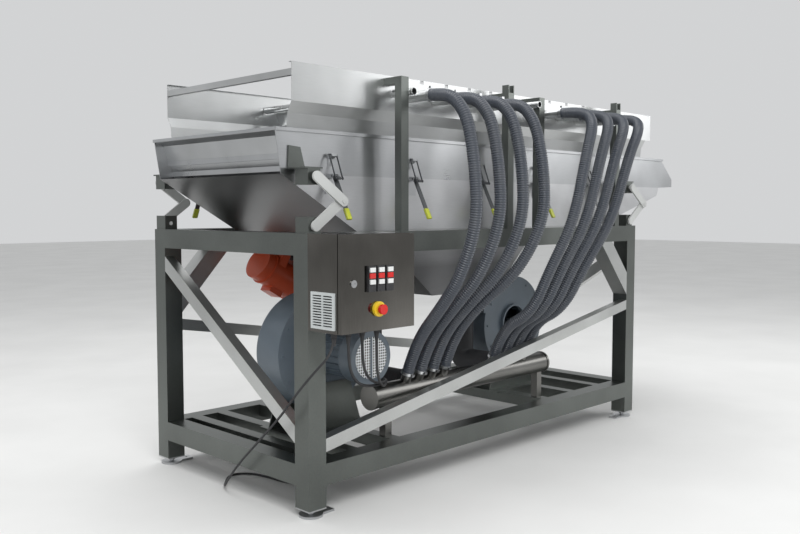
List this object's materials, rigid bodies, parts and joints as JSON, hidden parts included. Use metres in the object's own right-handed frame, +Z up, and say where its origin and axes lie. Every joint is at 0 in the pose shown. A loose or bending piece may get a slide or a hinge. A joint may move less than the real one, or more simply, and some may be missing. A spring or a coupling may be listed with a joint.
{
  "type": "vibrating feeder",
  "caption": "Vibrating trough feeder on a tube frame, with an air-knife drying hood, blowers, flexible air hoses, a sloped drain pan and a side control box.",
  "frame": {"origin": "middle of the four floor anchors, on the floor", "axes": "+X along the trough towards its outlet, +Y to the rear away from the control box, +Z up"},
  "size_m": [3.2724, 1.5103, 1.8661],
  "materials": {
    "frame_paint": "satin",
    "bright_steel": "satin",
    "stainless": "brushed",
    "hose_rubber": "satin",
    "duct_rubber": "matte",
    "blower_paint": "satin",
    "arm_paint": "satin",
    "vibrator_paint": "gloss",
    "rotor_iron": "matte",
    "white_plastic": "gloss",
    "red_plastic": "gloss",
    "grey_plastic": "matte",
    "black_plastic": "matte",
    "cable_rubber": "matte"
  },
  "bodies": {
    "frame": {"frame_legs": "frame_paint", "frame_rails": "frame_paint", "deck_crossmembers": "frame_paint", "frame_braces": "frame_paint", "levelling_feet": "bright_steel", "hood_posts": "frame_paint", "hood_walls": "stainless", "hood_cross_bars": "stainless", "air_knives": "stainless", "hose_1": "hose_rubber", "hose_2": "hose_rubber", "hose_3": "hose_rubber", "hose_4": "hose_rubber", "hose_5": "hose_rubber", "hose_6": "hose_rubber", "hose_7": "hose_rubber", "hose_8": "hose_rubber", "hose_clamps": "bright_steel", "manifold": "stainless", "blower_ducts": "duct_rubber", "blower_housings": "blower_paint", "blower_motors": "blower_paint", "blower_stands": "frame_paint", "mount_bases": "frame_paint", "box_shell": "stainless", "filter_grille": "grey_plastic", "cable_glands": "black_plastic", "mains_cord": "cable_rubber", "mains_coil": "cable_rubber", "mains_plug": "black_plastic", "motor_lead": "cable_rubber"},
    "trough": {"trough_shell": "stainless", "screen_deck": "stainless", "lower_pan": "stainless", "mount_brackets": "stainless", "vibrator_housings": "vibrator_paint", "latch_plates": "bright_steel"},
    "wheel_left": {"impeller_left": "blower_paint"},
    "wheel_right": {"impeller_right": "blower_paint"},
    "vibrator_rotor_front": {"rotor_front": "rotor_iron"},
    "vibrator_rotor_rear": {"rotor_rear": "rotor_iron"},
    "low_arms_left": {"lower_arms_left": "arm_paint"},
    "low_arms_right": {"lower_arms_right": "arm_paint"},
    "high_arms_left": {"upper_arms_left": "arm_paint"},
    "high_arms_right": {"upper_arms_right": "arm_paint"},
    "levers_front": {"latch_levers_front": "bright_steel"},
    "levers_rear": {"latch_levers_rear": "bright_steel"},
    "bails_front": {"latch_bails_front": "bright_steel"},
    "bails_rear": {"latch_bails_rear": "bright_steel"},
    "door": {"box_door": "stainless", "button_holders": "white_plastic", "indicator_lamps": "red_plastic"},
    "lock": {"door_lock": "bright_steel"},
    "estop": {"estop_button": "red_plastic"},
    "start_1": {"start_button_1": "white_plastic"},
    "start_2": {"start_button_2": "white_plastic"},
    "start_3": {"start_button_3": "white_plastic"},
    "stop_1": {"stop_button_1": "white_plastic"},
    "stop_2": {"stop_button_2": "white_plastic"},
    "stop_3": {"stop_button_3": "white_plastic"}
  },
  "joints": [
    {"name": "trough_shake", "type": "slide", "parent": "frame", "child": "trough", "axis": [0.5026, 0, 0.8645], "range_m": [-0.004, 0.004], "stiffness_N_per_m": 2000000, "springref_m": 0.0017},
    {"name": "wheel_left_spin", "type": "hinge", "parent": "frame", "child": "wheel_left", "pos_m": [-0.808, 0, 0.592], "axis": [0, 1, 0], "continuous": true},
    {"name": "wheel_right_spin", "type": "hinge", "parent": "frame", "child": "wheel_right", "pos_m": [0.61, 0, 0.592], "axis": [0, 1, 0], "continuous": true},
    {"name": "rotor_front_spin", "type": "hinge", "parent": "trough", "child": "vibrator_rotor_front", "pos_m": [-0.67996, -0.37, 0.9076], "axis": [0.8645, 0, -0.5026], "continuous": true},
    {"name": "rotor_rear_spin", "type": "hinge", "parent": "trough", "child": "vibrator_rotor_rear", "pos_m": [-0.67996, 0.37, 0.9076], "axis": [0.8645, 0, -0.5026], "continuous": true},
    {"name": "low_arms_left_turn", "type": "hinge", "parent": "frame", "child": "low_arms_left", "pos_m": [-1.225, 0, 1.185], "axis": [0, -1, 0], "range_deg": [-0.2, 0.2]},
    {"name": "high_arms_left_turn", "type": "hinge", "parent": "trough", "child": "high_arms_left", "pos_m": [-1.225, 0, 1.381], "axis": [0, -1, 0], "range_deg": [-1.5, 1.5]},
    {"name": "low_arms_right_turn", "type": "hinge", "parent": "frame", "child": "low_arms_right", "pos_m": [1.2, 0, 1.185], "axis": [0, -1, 0], "range_deg": [-0.2, 0.2]},
    {"name": "high_arms_right_turn", "type": "hinge", "parent": "trough", "child": "high_arms_right", "pos_m": [1.2, 0, 1.381], "axis": [0, -1, 0], "range_deg": [-1.5, 1.5]},
    {"name": "levers_front_open", "type": "hinge", "parent": "trough", "child": "levers_front", "pos_m": [0, -0.492, 1.39], "axis": [-1, 0, 0], "range_deg": [0, 70]},
    {"name": "bails_front_swing", "type": "hinge", "parent": "levers_front", "child": "bails_front", "pos_m": [0, -0.52019, 1.37974], "axis": [-1, 0, 0], "range_deg": [-70, 0]},
    {"name": "levers_rear_open", "type": "hinge", "parent": "trough", "child": "levers_rear", "pos_m": [0, 0.492, 1.39], "axis": [1, 0, 0], "range_deg": [0, 70]},
    {"name": "bails_rear_swing", "type": "hinge", "parent": "levers_rear", "child": "bails_rear", "pos_m": [0, 0.52019, 1.37974], "axis": [1, 0, 0], "range_deg": [-70, 0]},
    {"name": "door_swing", "type": "hinge", "parent": "frame", "child": "door", "pos_m": [-0.861, -0.763, 0.964], "axis": [0, 0, 1], "range_deg": [0, 110]},
    {"name": "lock_turn", "type": "hinge", "parent": "door", "child": "lock", "pos_m": [-1.204, -0.785, 0.965], "axis": [0, 1, 0], "range_deg": [0, 90]},
    {"name": "start_1_press", "type": "slide", "parent": "door", "child": "start_1", "axis": [0, 1, 0], "range_m": [0, 0.003], "stiffness_N_per_m": 400},
    {"name": "start_2_press", "type": "slide", "parent": "door", "child": "start_2", "axis": [0, 1, 0], "range_m": [0, 0.003], "stiffness_N_per_m": 400},
    {"name": "start_3_press", "type": "slide", "parent": "door", "child": "start_3", "axis": [0, 1, 0], "range_m": [0, 0.003], "stiffness_N_per_m": 400},
    {"name": "stop_1_press", "type": "slide", "parent": "door", "child": "stop_1", "axis": [0, 1, 0], "range_m": [0, 0.003], "stiffness_N_per_m": 400},
    {"name": "stop_2_press", "type": "slide", "parent": "door", "child": "stop_2", "axis": [0, 1, 0], "range_m": [0, 0.003], "stiffness_N_per_m": 400},
    {"name": "stop_3_press", "type": "slide", "parent": "door", "child": "stop_3", "axis": [0, 1, 0], "range_m": [0, 0.003], "stiffness_N_per_m": 400},
    {"name": "estop_press", "type": "slide", "parent": "door", "child": "estop", "axis": [0, 1, 0], "range_m": [0, 0.004], "stiffness_N_per_m": 600}
  ],
  "couplings": [
    {"joint": "rotor_rear_spin", "follows": "rotor_front_spin", "ratio": -1},
    {"joint": "low_arms_left_turn", "follows": "trough_shake", "rad_per_m": 0.53},
    {"joint": "high_arms_left_turn", "follows": "trough_shake", "rad_per_m": -5.73},
    {"joint": "low_arms_right_turn", "follows": "trough_shake", "rad_per_m": 0.53},
    {"joint": "high_arms_right_turn", "follows": "trough_shake", "rad_per_m": -5.73},
    {"joint": "bails_front_swing", "follows": "levers_front_open", "ratio": -1},
    {"joint": "bails_rear_swing", "follows": "levers_rear_open", "ratio": -1}
  ]
}
